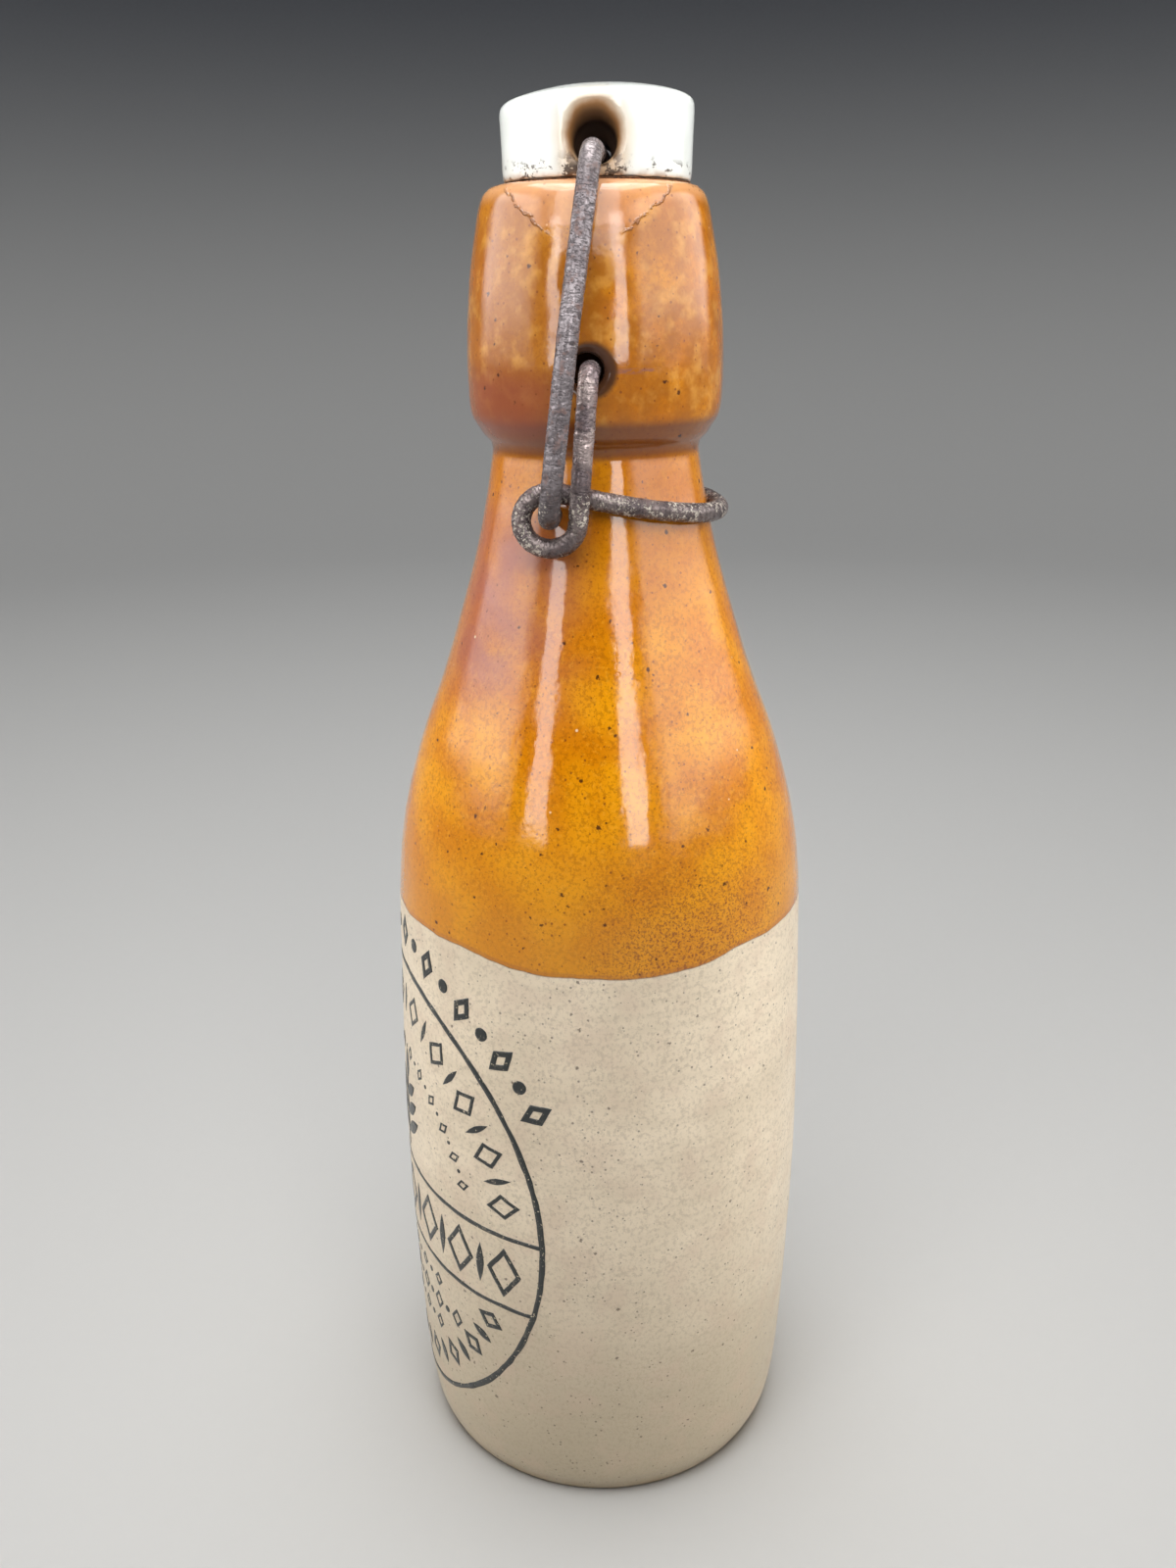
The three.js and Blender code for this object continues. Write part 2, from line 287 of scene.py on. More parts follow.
class Paint:
    """Builds one material from nodes. Each method adds a node and returns its output."""

    def __init__(self, name):
        self.material = bpy.data.materials.new(name)
        self.material.use_nodes = True
        self.tree = self.material.node_tree
        self.tree.nodes.clear()
        place = self.node("ShaderNodeTexCoord").outputs["Object"]
        self.place = self.vector("SCALE", place, scale=1 / MM)  # millimetres
        split = self.node("ShaderNodeSeparateXYZ")
        self.put(split.inputs[0], self.place)
        self.x, self.y, self.z = split.outputs

    def node(self, kind, **settings):
        node = self.tree.nodes.new(kind)
        for name, value in settings.items():
            setattr(node, name, value)
        return node

    def put(self, socket, value):
        if isinstance(value, bpy.types.NodeSocket):
            self.tree.links.new(value, socket)
        else:
            socket.default_value = value

    def math(self, operation, *values):
        node = self.node("ShaderNodeMath", operation=operation)
        for socket, value in zip(node.inputs, values):
            self.put(socket, value)
        return node.outputs[0]

    def vector(self, operation, *values, scale=None):
        node = self.node("ShaderNodeVectorMath", operation=operation)
        for socket, value in zip(node.inputs, values):
            self.put(socket, value)
        if scale is not None:
            self.put(node.inputs["Scale"], scale)
        return node.outputs["Vector"]

    def rise(self, value, low, high, start=0.0, end=1.0):
        """Start where value is low, end where it is high, and a smooth step between."""
        node = self.node("ShaderNodeMapRange", interpolation_type="SMOOTHSTEP")
        for socket, given in zip(node.inputs, (value, low, high, start, end)):
            self.put(socket, given)
        return node.outputs[0]

    def mix(self, share, one, other, how="MIX"):
        node = self.node("ShaderNodeMix", data_type="RGBA", blend_type=how)
        self.put(node.inputs["Factor"], share)
        self.put(node.inputs[6], one)
        self.put(node.inputs[7], other)
        return node.outputs[2]

    def noise(self, size, detail=2.0, roughness=0.5, at=None, stretch=None):
        """Noise of lumps of the given size in millimetres, about 0 to 1."""
        where = at if at is not None else self.place
        if stretch:
            where = self.vector("DIVIDE", where, stretch)
        node = self.node("ShaderNodeTexNoise")
        self.put(node.inputs["Vector"], where)
        self.put(node.inputs["Scale"], 1 / size)
        self.put(node.inputs["Detail"], detail)
        self.put(node.inputs["Roughness"], roughness)
        return node.outputs["Fac"]

    def spots(self, spacing, radius, share, at=None):
        """Round spots, one to a cell: a share of the cells has one, of up to the given radius."""
        node = self.node("ShaderNodeTexVoronoi")
        self.put(node.inputs["Vector"], at if at is not None else self.place)
        self.put(node.inputs["Scale"], 1 / spacing)
        split = self.node("ShaderNodeSeparateColor")
        self.put(split.inputs[0], node.outputs["Color"])
        size = self.math("MULTIPLY_ADD", split.outputs[1], 0.6 * radius / spacing, 0.4 * radius / spacing)
        inside = self.math("SUBTRACT", size, node.outputs["Distance"])
        edge = 0.25 * radius / spacing
        kept = self.math("LESS_THAN", split.outputs[0], share)
        return self.math("MULTIPLY", self.rise(inside, -edge, edge), kept)

    def facing(self, bearing, spread):
        """1 on the side of the bottle at this azimuth, fading to 0 at spread degrees from it."""
        direction = (math.cos(math.radians(bearing)), math.sin(math.radians(bearing)))
        along = self.math("ADD", self.math("MULTIPLY", self.x, direction[0]),
                          self.math("MULTIPLY", self.y, direction[1]))
        radius = self.math("SQRT", self.math("ADD", self.math("POWER", self.x, 2.0),
                                             self.math("POWER", self.y, 2.0)))
        cosine = self.math("DIVIDE", along, self.math("MAXIMUM", radius, 0.01))
        return self.rise(cosine, math.cos(math.radians(spread)), 1.0)

    def from_axis(self, axis):
        """Distance in millimetres from an axis along X through (y, z)."""
        across = self.math("SUBTRACT", self.y, axis[0])
        up = self.math("SUBTRACT", self.z, axis[1])
        return self.math("SQRT", self.math("ADD", self.math("POWER", across, 2.0),
                                           self.math("POWER", up, 2.0)))

    def band(self, value, middle, width, soft):
        """1 within half a width of the middle value, fading to 0 over soft."""
        away = self.math("ABSOLUTE", self.math("SUBTRACT", value, middle))
        return self.rise(away, width / 2, width / 2 + soft, 1.0, 0.0)

    def times(self, *values):
        result = values[0]
        for value in values[1:]:
            result = self.math("MULTIPLY", result, value)
        return result

    def bump(self, height, depth, below=None):
        """Relief of the given depth in millimetres."""
        node = self.node("ShaderNodeBump")
        self.put(node.inputs["Height"], height)
        self.put(node.inputs["Distance"], depth * MM)
        if below is not None:
            self.put(node.inputs["Normal"], below)
        return node.outputs["Normal"]

    def done(self, colour, roughness, normal, metallic=0.0, coat=0.0, specular=0.5):
        shader = self.node("ShaderNodeBsdfPrincipled")
        self.put(shader.inputs["Base Color"], colour)
        self.put(shader.inputs["Roughness"], roughness)
        self.put(shader.inputs["Metallic"], metallic)
        self.put(shader.inputs["Normal"], normal)
        self.put(shader.inputs["Specular IOR Level"], specular)
        self.put(shader.inputs["Coat Weight"], coat)
        self.put(shader.inputs["Coat Roughness"], 0.04)
        self.put(shader.inputs["Coat Normal"], normal)
        output = self.node("ShaderNodeOutputMaterial")
        self.put(output.inputs["Surface"], shader.outputs[0])
        return self.material


# ---------------------------------------------------------------- materials


def ragged(paint):
    """The place with a small wander, which makes round spots irregular."""
    wander = paint.node("ShaderNodeTexNoise")
    paint.put(wander.inputs["Vector"], paint.place)
    paint.put(wander.inputs["Scale"], 2.2)
    return paint.vector("ADD", paint.place, paint.vector("SCALE", wander.outputs["Color"], scale=0.7))


def glaze_colour(paint):
    """Honey glaze: mottled amber, darker round the neck, with burnt iron specks. Under the blob it is darker from
    pooled glaze and painted shade.
    """
    z = paint.z
    cloud = paint.rise(paint.noise(11.0, 3.0), 0.35, 0.68)
    colour = paint.mix(cloud, linear(202, 120, 2), linear(226, 150, 8))
    fine = paint.rise(paint.noise(0.62, 3.0, 0.75), 0.48, 0.6)
    colour = paint.mix(paint.math("MULTIPLY", fine, 0.5), colour, linear(154, 84, 4))
    bright = paint.rise(paint.noise(0.8, 3.0, 0.7, at=paint.vector("ADD", paint.place, (50.0, 0.0, 0.0))),
                        0.54, 0.66)
    colour = paint.mix(paint.math("MULTIPLY", bright, 0.3), colour, linear(240, 172, 48))
    pale = paint.times(paint.rise(z, GLAZE_Z + 26, GLAZE_Z - 2), 0.45)
    colour = paint.mix(pale, colour, linear(208, 142, 34))
    # darker in a band round the neck
    neck_darker = paint.band(z, NECK_Z - 8, 12.0, 14.0)
    colour = paint.mix(paint.math("MULTIPLY", neck_darker, 0.5), colour, linear(178, 98, 2))
    blob = paint.rise(z, NECK_Z + 1, NECK_Z + 6)
    colour = paint.mix(paint.math("MULTIPLY", blob, 0.35), colour, linear(150, 84, 22))
    dull = paint.times(blob, paint.facing(-34, 46), 0.42)
    colour = paint.mix(dull, colour, linear(124, 74, 46))
    patch = paint.rise(paint.noise(5.0, 3.0, 0.6), 0.3, 0.64)
    colour = paint.mix(paint.times(blob, patch, 0.75), colour, linear(152, 88, 18))
    cleared = paint.noise(3.4, 3.0, 0.6, at=paint.vector("ADD", paint.place, (0.0, 90.0, 0.0)))
    cleared = paint.rise(cleared, 0.46, 0.76)
    colour = paint.mix(paint.times(blob, cleared, 0.5), colour, linear(222, 162, 74))
    # paler towards the lip: thin glaze on its edge, and a painted highlight on the lip's rounding
    lip_thin_glaze_and_highlight = paint.rise(z, LIP_Z - 3.2, LIP_Z - 0.6)
    colour = paint.mix(paint.math("MULTIPLY", lip_thin_glaze_and_highlight, 0.55), colour, linear(232, 178, 130))
    # darker on the chamfered underside of the blob: glaze pooled at the neck, and painted shade where the underside
    # faces down
    pooled_glaze_and_shade = paint.band(z, NECK_Z + 2.2, 3.6, 1.6)
    colour = paint.mix(paint.math("MULTIPLY", pooled_glaze_and_shade, 0.8), colour, linear(104, 54, 26))
    flushed = paint.rise(paint.noise(16.0, 2.0), 0.25, 0.5)
    left = paint.times(paint.facing(-42, 50), paint.band(z, NECK_Z - 21, 12.0, 14.0), flushed, 0.75)
    colour = paint.mix(left, colour, linear(146, 82, 80))
    foot_of_blob = paint.times(paint.facing(-44, 48), paint.band(z, NECK_Z + 7, 4.0, 5.0), 0.8)
    colour = paint.mix(foot_of_blob, colour, linear(136, 68, 46))
    streak = paint.noise(2.2, 3.0, at=paint.vector("MULTIPLY", paint.place, (1.0, 1.0, 3.0)))
    scratch = paint.times(paint.facing(21, 13), paint.band(z, NECK_Z + 11.8, 0.1, 0.5),
                          paint.rise(streak, 0.4, 0.55), 0.7)
    colour = paint.mix(scratch, colour, linear(122, 84, 82))
    burnt = paint.times(paint.facing(32, 38), paint.rise(z, GLAZE_Z + 24, GLAZE_Z + 3))
    freckles = paint.rise(paint.noise(0.4, 3.0, 0.7), 0.51, 0.59)
    colour = paint.mix(paint.times(freckles, burnt, 0.85), colour, linear(128, 70, 30))
    dots = paint.spots(0.95, 0.2, 0.5)
    colour = paint.mix(paint.math("MULTIPLY", dots, 0.7), colour, linear(112, 54, 20))
    large = paint.spots(2.3, 0.35, 0.42, at=ragged(paint))
    colour = paint.mix(paint.math("MULTIPLY", large, 0.9), colour, linear(58, 22, 10))
    # pale pinholes, painted bright as white glints
    pinhole_glints = paint.spots(4.1, 0.26, 0.3)
    colour = paint.mix(paint.math("MULTIPLY", pinhole_glints, 0.8), colour, linear(246, 220, 180))
    # painted shade: dark brown in and round the dimples for the lever's pin ends
    away = paint.from_axis(PIVOT)
    dimple_shade = paint.times(paint.rise(away, 4.3, 3.3), paint.rise(away, 1.0, 4.0, 0.96, 0.9))
    return paint.mix(dimple_shade, colour, linear(58, 36, 26))


def cream_colour(paint):
    """Pale stoneware body under a clear glaze, with grey and brown specks."""
    cloud = paint.rise(paint.noise(14.0, 3.0), 0.3, 0.7)
    colour = paint.mix(cloud, linear(221, 204, 178), linear(234, 217, 191))
    rings = paint.noise(1.5, 2.0, at=paint.vector("MULTIPLY", paint.place, (0.05, 0.05, 1.0)))
    colour = paint.mix(paint.times(paint.rise(rings, 0.4, 0.75), 0.16), colour, linear(184, 168, 142))
    # painted shade: the cream is darker towards the foot
    shade_to_foot = paint.times(paint.rise(paint.z, 66.0, 4.0), 0.8)
    colour = paint.mix(shade_to_foot, colour, linear(170, 155, 128))
    toast = paint.times(paint.rise(paint.z, 3.2, 0.6), paint.rise(paint.noise(5.0, 2.0), 0.3, 0.6), 0.6)
    colour = paint.mix(toast, colour, linear(164, 138, 100))
    grit = paint.rise(paint.noise(0.7, 3.0, 0.75), 0.48, 0.62)
    colour = paint.mix(paint.math("MULTIPLY", grit, 0.34), colour, linear(164, 146, 122))
    blush = paint.rise(paint.noise(6.0, 3.0), 0.45, 0.7)
    colour = paint.mix(paint.math("MULTIPLY", blush, 0.3), colour, linear(206, 180, 158))
    dots = paint.spots(1.0, 0.2, 0.5)
    colour = paint.mix(paint.math("MULTIPLY", dots, 0.7), colour, linear(100, 86, 72))
    large = paint.spots(2.6, 0.32, 0.45, at=ragged(paint))
    return paint.mix(paint.math("MULTIPLY", large, 0.76), colour, linear(86, 68, 54))


def glaze_seam(paint):
    """Two wrinkles where the glaze has run from the lip, slanting in and down on both sides,
    and a paler, pinker patch between them."""
    azimuth = paint.math("ABSOLUTE", paint.math("ARCTAN2", paint.y, paint.x))
    wobble = paint.math("MULTIPLY_ADD", paint.noise(1.6, 3.0, 0.6), 2.4, -1.2)
    slope = paint.math("MULTIPLY_ADD", azimuth, 11.9, LIP_Z - 10.4)
    beside = paint.math("ADD", paint.math("SUBTRACT", paint.z, slope), wobble)
    broken = paint.rise(paint.noise(0.9, 2.0), 0.36, 0.54)
    seam = paint.times(paint.band(beside, 0.0, 0.16, 0.3), paint.band(azimuth, 0.56, 0.4, 0.12), broken)
    lowest = paint.math("ADD", paint.z, wobble)
    thin = paint.times(paint.rise(beside, -0.1, 0.5), paint.rise(lowest, LIP_Z - 6.3, LIP_Z - 5.5))
    return seam, thin


def stoneware_material():
    paint = Paint("stoneware_glazes")
    ripple = paint.math("MULTIPLY_ADD", paint.noise(7.0, 3.0), 1.1, -0.55)
    dip = paint.math("MULTIPLY", paint.facing(6, 42), -1.9)
    line = paint.math("ADD", paint.math("ADD", ripple, dip), GLAZE_Z)
    above = paint.math("SUBTRACT", paint.z, line)
    glazed = paint.rise(above, -0.12, 0.16)
    foot = paint.rise(paint.z, 0.7, 0.25)  # the ring it stands on is bare clay

    colour = paint.mix(glazed, cream_colour(paint), glaze_colour(paint))
    edge = paint.band(above, 0.35, 0.2, 0.5)
    colour = paint.mix(paint.math("MULTIPLY", edge, 0.4), colour, linear(160, 96, 48))
    colour = paint.mix(paint.math("MULTIPLY", foot, 0.7), colour, linear(172, 150, 116))
    seam, thin = glaze_seam(paint)
    # a paler, pinker patch on the upper blob between the wrinkles
    colour = paint.mix(paint.math("MULTIPLY", thin, 0.42), colour, linear(222, 162, 124))
    colour = paint.mix(paint.math("MULTIPLY", seam, 0.5), colour, linear(104, 56, 26))

    drips = paint.noise(3.4, 1.0, at=paint.vector("MULTIPLY", paint.place, (1.0, 1.0, 0.16)))
    dents = paint.noise(4.2, 1.0)
    skin = paint.noise(0.9, 2.0)
    crater = paint.spots(5.5, 0.4, 0.25)
    relief = paint.math("ADD", paint.math("MULTIPLY", drips, 0.26), paint.math("MULTIPLY", dents, 0.2))
    relief = paint.math("ADD", relief, paint.math("MULTIPLY", skin, 0.05))
    relief = paint.math("SUBTRACT", relief, paint.math("MULTIPLY", crater, 0.16))
    relief = paint.math("ADD", relief, paint.math("MULTIPLY", seam, 0.55))
    relief = paint.math("MULTIPLY", relief, glazed)
    clay = paint.math("MULTIPLY", paint.noise(0.45, 3.0, 0.65), 0.1)
    turning = paint.noise(1.3, 2.0, at=paint.vector("MULTIPLY", paint.place, (0.06, 0.06, 1.0)))
    clay = paint.math("ADD", clay, paint.math("MULTIPLY", turning, 0.16))
    clay = paint.math("MULTIPLY", clay, paint.math("SUBTRACT", 1.0, glazed))
    height = paint.math("ADD", paint.math("ADD", relief, clay), paint.math("MULTIPLY", glazed, 0.3))
    normal = paint.bump(height, 0.3)

    wear = paint.noise(6.0, 3.0)
    gloss = paint.rise(wear, 0.3, 0.8, 0.07, 0.17)
    satin = paint.rise(wear, 0.3, 0.8, 0.34, 0.5)
    roughness = paint.math("ADD", paint.math("MULTIPLY", gloss, glazed),
                           paint.math("MULTIPLY", satin, paint.math("SUBTRACT", 1.0, glazed)))
    roughness = paint.math("ADD", roughness, paint.math("MULTIPLY", foot, 0.3))
    coat = paint.math("MULTIPLY_ADD", glazed, 0.1, 0.05)
    return paint.done(colour, roughness, normal, coat=coat)


def porcelain_material():
    """White glazed porcelain, rust-stained round the cross hole, with grime along its foot."""
    paint = Paint("porcelain_white")
    cloud = paint.rise(paint.noise(9.0, 2.0), 0.35, 0.65)
    colour = paint.mix(cloud, linear(226, 229, 223), linear(236, 239, 235))

    across = paint.math("SUBTRACT", paint.y, CROSSBAR[0])
    up = paint.math("MULTIPLY", paint.math("SUBTRACT", paint.z, MOUTH_Z + 0.2), 0.86)
    away = paint.math("SQRT", paint.math("ADD", paint.math("POWER", across, 2.0),
                                         paint.math("POWER", up, 2.0)))
    away = paint.math("ADD", away, paint.math("MULTIPLY_ADD", paint.noise(2.6, 3.0), 0.9, -0.45))
    outer = paint.rise(paint.math("ABSOLUTE", paint.x), 6.0, 10.0)
    halo = paint.times(paint.rise(away, 6.6, 3.7), 0.6)
    colour = paint.mix(halo, colour, linear(222, 196, 160))
    stain = paint.rise(away, 4.8, 3.2)
    colour = paint.mix(stain, colour, linear(146, 102, 58))
    browned = paint.rise(away, 3.7, 2.5)
    colour = paint.mix(browned, colour, linear(112, 80, 50))
    below = paint.times(paint.rise(paint.math("ABSOLUTE", across), 5.6, 2.6), outer,
                        paint.rise(paint.z, MOUTH_Z - 0.5, MOUTH_Z - 2.6))
    colour = paint.mix(paint.math("MULTIPLY", below, 0.62), colour, linear(196, 168, 134))
    caked = paint.rise(paint.noise(1.3, 4.0, 0.65), 0.47, 0.55)
    colour = paint.mix(paint.times(below, caked, 0.9), colour, linear(88, 64, 44))
    # darker deeper in the cross hole: rust grime round the wire, and painted shade in the bore
    deep = paint.rise(paint.math("ABSOLUTE", paint.x), 12.4, 8.8)
    bore_grime_and_shade = paint.times(deep, paint.rise(away, 4.4, 4.0))
    colour = paint.mix(bore_grime_and_shade, colour, linear(64, 46, 34))

    foot_z = STOPPER_LOW.z + 7.15
    low = paint.rise(paint.z, foot_z + 2.8, foot_z + 0.9)
    flattened = paint.vector("MULTIPLY", ragged(paint), (0.7, 0.7, 1.25))
    chips = paint.rise(paint.noise(2.0, 4.0, 0.7, at=flattened), 0.555, 0.585)
    chips = paint.math("MAXIMUM", chips, paint.spots(0.9, 0.36, 0.2, at=flattened))
    grime = paint.times(low, chips)
    colour = paint.mix(paint.math("MULTIPLY", grime, 0.92), colour, linear(58, 42, 30))
    smear = paint.times(paint.rise(paint.z, foot_z + 1.0, foot_z), paint.rise(paint.noise(3.0, 2.0), 0.4, 0.6))
    colour = paint.mix(paint.math("MULTIPLY", smear, 0.5), colour, linear(150, 120, 92))
    specks = paint.times(paint.spots(2.6, 0.17, 0.12), 0.8)
    colour = paint.mix(specks, colour, linear(84, 66, 50))
    crown = paint.times(paint.rise(paint.z, MOUTH_Z + 2.6, MOUTH_Z + 4.2), outer,
                        paint.rise(paint.math("ABSOLUTE", across), 5.5, 4.0), paint.spots(1.5, 0.24, 0.5))
    colour = paint.mix(paint.math("MULTIPLY", crown, 0.85), colour, linear(96, 70, 50))
    under = paint.rise(paint.z, foot_z, foot_z - 0.8)
    colour = paint.mix(paint.math("MULTIPLY", under, 0.45), colour, linear(176, 150, 118))

    relief = paint.math("ADD", paint.math("MULTIPLY", paint.noise(5.0, 2.0), 0.5),
                        paint.math("MULTIPLY", paint.noise(0.8, 2.0), 0.03))
    relief = paint.math("ADD", relief, paint.math("MULTIPLY", grime, 0.5))
    normal = paint.bump(relief, 0.12)
    dirty = paint.math("MAXIMUM", grime, paint.math("MULTIPLY", stain, 0.7))
    roughness = paint.math("MULTIPLY_ADD", dirty, 0.45, 0.09)
    coat = paint.rise(dirty, 0.0, 0.8, 0.2, 0.0)
    return paint.done(colour, roughness, normal, coat=coat, specular=0.4)


def wire_material(name, metal, dark, crust, bare=None):
    """Old iron wire: pitted and browned, with a pale mineral crust in places. The grooves
    run across the wire, so they are drawn from the attributes along and round."""
    paint = Paint(name)
    along = paint.node("ShaderNodeAttribute", attribute_name="along").outputs["Fac"]
    around = paint.node("ShaderNodeAttribute", attribute_name="around")
    spread = paint.vector("SCALE", around.outputs["Vector"], scale=1.0)
    stretched = paint.node("ShaderNodeCombineXYZ")
    turn = paint.node("ShaderNodeSeparateXYZ")
    paint.put(turn.inputs[0], spread)
    paint.put(stretched.inputs[0], turn.outputs[0])
    paint.put(stretched.inputs[1], turn.outputs[1])
    paint.put(stretched.inputs[2], paint.math("MULTIPLY", along, 3.2))
    grooves = paint.noise(0.75, 3.0, 0.6, at=stretched.outputs[0])
    pits = paint.rise(grooves, 0.5, 0.36)

    tone = paint.rise(paint.noise(3.0, 4.0, 0.6), 0.4, 0.6)
    colour = paint.mix(tone, metal, dark)
    rust = paint.rise(paint.noise(1.5, 4.0, 0.65), 0.52, 0.66)
    colour = paint.mix(paint.math("MULTIPLY", rust, 0.5), colour, linear(128, 90, 76))
    # darker towards the lower ends of the wires, by the eyes: dirt, and painted shade
    low_grime_and_shade = paint.rise(paint.z, LINK[1] + 10.0, LINK[1] + 1.0)
    colour = paint.mix(paint.math("MULTIPLY", low_grime_and_shade, 0.6), colour, linear(66, 58, 57))
    colour = paint.mix(paint.math("MULTIPLY", pits, 0.55), colour, linear(46, 39, 41))
    scale = paint.math("MULTIPLY_ADD", crust(paint), 0.13, paint.noise(0.6, 4.0, 0.75))
    flecks = paint.rise(scale, 0.665, 0.7)
    colour = paint.mix(paint.math("MULTIPLY", flecks, 0.9), colour, linear(204, 194, 180))

    worn = bare(paint) if bare else 0.0
    colour = paint.mix(worn, colour, linear(122, 113, 112))
    relief = paint.math("ADD", paint.math("MULTIPLY", pits, -0.8), paint.math("MULTIPLY", flecks, 0.7))
    relief = paint.math("ADD", relief, paint.math("MULTIPLY", paint.noise(0.35, 3.0), 0.2))
    normal = paint.bump(relief, 0.09)
    covered = paint.math("MAXIMUM", flecks, rust)
    roughness = paint.math("MULTIPLY_ADD", covered, 0.4, 0.26)
    metallic = paint.rise(covered, 0.0, 0.8, 0.55, 0.05)
    return paint.done(colour, roughness, normal, metallic=metallic, specular=0.45)


def lever_crust(paint):
    """Thickest low on the eyes, on the arms and at the back of the loop."""
    patchy = paint.rise(paint.noise(4.0, 2.0), 0.38, 0.56)
    low = paint.rise(paint.z, LINK[1] + 6.0, LINK[1] + 1.0)
    return paint.math("MULTIPLY_ADD", paint.times(low, patchy), 0.9, 0.15)


def bail_crust(paint):
    patchy = paint.rise(paint.noise(5.0, 2.0), 0.5, 0.64)
    low = paint.rise(paint.z, LINK[1] + 16.0, LINK[1] + 2.0)
    return paint.times(low, patchy, 0.75)


def bail_bare(paint):
    """The bail is rubbed smooth and pale where it turns into the stopper."""
    return paint.times(paint.rise(paint.z, CROSSBAR[1] - 4.5, CROSSBAR[1] - 0.5), 0.55)


def rubber_material():
    paint = Paint("rubber_perished")
    cracks = paint.rise(paint.noise(0.7, 3.0, 0.65), 0.42, 0.6)
    colour = paint.mix(cracks, linear(70, 48, 34), linear(124, 86, 58))
    normal = paint.bump(paint.noise(0.45, 3.0), 0.15)
    return paint.done(colour, paint.rise(cracks, 0.0, 1.0, 0.7, 0.9), normal, specular=0.25)


def ink_material():
    """Underglaze print: grey-black, thin in places so that the clay shows through."""
    paint = Paint("print_ink")
    thin = paint.rise(paint.noise(1.6, 4.0, 0.7), 0.56, 0.7)
    colour = paint.mix(paint.math("MULTIPLY", thin, 0.5), linear(34, 37, 36), linear(118, 112, 98))
    gaps = paint.rise(paint.noise(0.5, 3.0, 0.6), 0.63, 0.68)
    colour = paint.mix(gaps, colour, linear(196, 182, 156))
    normal = paint.bump(paint.noise(0.5, 3.0), 0.02)
    return paint.done(colour, paint.rise(thin, 0.0, 1.0, 0.34, 0.5), normal, coat=0.1)


def sweep_material():
    """The studio sweep: a pale floor that darkens as it climbs away from the object."""
    paint = Paint("studio_sweep")
    wall = paint.rise(paint.z, 20.0, 620.0)
    grainy = paint.noise(3.0, 3.0)
    colour = paint.mix(wall, linear(212, 211, 208), linear(74, 78, 86))
    colour = paint.mix(paint.math("MULTIPLY", grainy, 0.05), colour, linear(180, 180, 178))
    normal = paint.bump(grainy, 0.02)
    return paint.done(colour, 0.62, normal, specular=0.3)


# ---------------------------------------------------------------- stoneware bottle

OUTSIDE_STEP = 0.75
INSIDE_STEP = 2.6
BOTTLE_SEGMENTS = 192


def bottle_rows():
    """The eased outline and how many of its rows are on the outside."""
    coarse = outline_of("stoneware_bottle")
    lip = int(np.argmax(coarse[:, 1])) + 1  # the flat top of the lip has two points
    outside = eased(coarse[:lip + 1], OUTSIDE_STEP)
    inside = eased(coarse[lip:], INSIDE_STEP)
    rows = np.vstack([outside[:-1], inside])
    rows[:, 1] = np.maximum(rows[:, 1], 0.0)  # an eased corner dips below the foot it stands on
    return rows, len(outside)


BOTTLE_ROWS, OUTSIDE_ROWS = bottle_rows()


def unevenness(azimuth, z):
    """How far the thrown wall stands off its true circle, in millimetres."""
    x, y = math.cos(azimuth), math.sin(azimuth)
    round_size = 22.0
    on_body = 1 - rise(z, 110, 150)
    oval = 0.16 * on_body * math.cos(2 * (azimuth - 0.7))
    throwing = 0.035 * grain(x * 2, y * 2, z, 2.6) * (0.4 + 0.6 * on_body)
    lumps = 0.06 * grain(x * round_size, y * round_size, z, 9.0)
    blob = rise(z, NECK_Z + 2, NECK_Z + 8) * (1 - rise(z, LIP_Z - 4, LIP_Z - 1))
    pressed = 0.06 * blob * grain(x * BLOB_RADIUS, y * BLOB_RADIUS, z, 4.2)
    ledge = 0.32 * rise(z, NECK_Z + 2.9, NECK_Z + 4.7) * (1 - rise(z, NECK_Z + 5.0, NECK_Z + 9.5))
    drawn_in = -0.24 * rise(z, LIP_Z - 11, LIP_Z - 5) * (1 - rise(z, LIP_Z - 3.5, LIP_Z - 0.3))
    standing = rise(z, 1.0, 6.0)
    return (oval + throwing + lumps + pressed + ledge + drawn_in) * standing


def bottle_shift(row, azimuth, z):
    return unevenness(azimuth, z) if row < OUTSIDE_ROWS - 2 else 0.0


def dimple_cutter(side):
    """The blind dimple for a pin end of the lever, with a glazed, rounded mouth."""
    bottom = BLOB_RADIUS - DIMPLE_BOTTOM
    profile = eased([
        (bottom, 0.2), (bottom, DIMPLE_RADIUS - 0.8), (bottom - 0.8, DIMPLE_RADIUS),
        (2.0, DIMPLE_RADIUS), (1.2, DIMPLE_RADIUS + 0.08), (0.62, DIMPLE_RADIUS + 0.36),
        (0.24, DIMPLE_RADIUS + 0.84), (0.05, DIMPLE_RADIUS + 1.5), (-0.12, DIMPLE_RADIUS + 2.2),
        (-2.0, DIMPLE_RADIUS + 2.6),
    ], 0.25)
    rings = [(depth, radius, PIVOT[1]) for depth, radius in profile]
    return bore(rings, side, 0.0, BLOB_RADIUS, 0.0)


def build_bottle():
    points, faces = turned(BOTTLE_ROWS, BOTTLE_SEGMENTS, shift=bottle_shift)
    obj = mesh_object("stoneware_body", points, faces, stoneware_material())
    cut(obj, [dimple_cutter(1), dimple_cutter(-1)])
    return obj


# ---------------------------------------------------------------- porcelain stopper


def stopper_rows():
    """The outline with the slant of the dome taken out, and the slant in mm per mm."""
    near = outline_of("porcelain_stopper", STOPPER_Y, 1)
    far = outline_of("porcelain_stopper", STOPPER_Y, -1)
    middle = (near + far) / 2
    head_z = LIP_Z + 0.55
    middle[:, 1] -= 0.15 * (abs(middle[:, 1] - head_z) < 0.7)  # it has settled on the seal
    shoulder = int(np.argmax(middle[:, 0]))
    slant = (near[shoulder, 1] - far[shoulder, 1]) / (2 * middle[shoulder, 0])
    return eased(middle, 0.45), slant


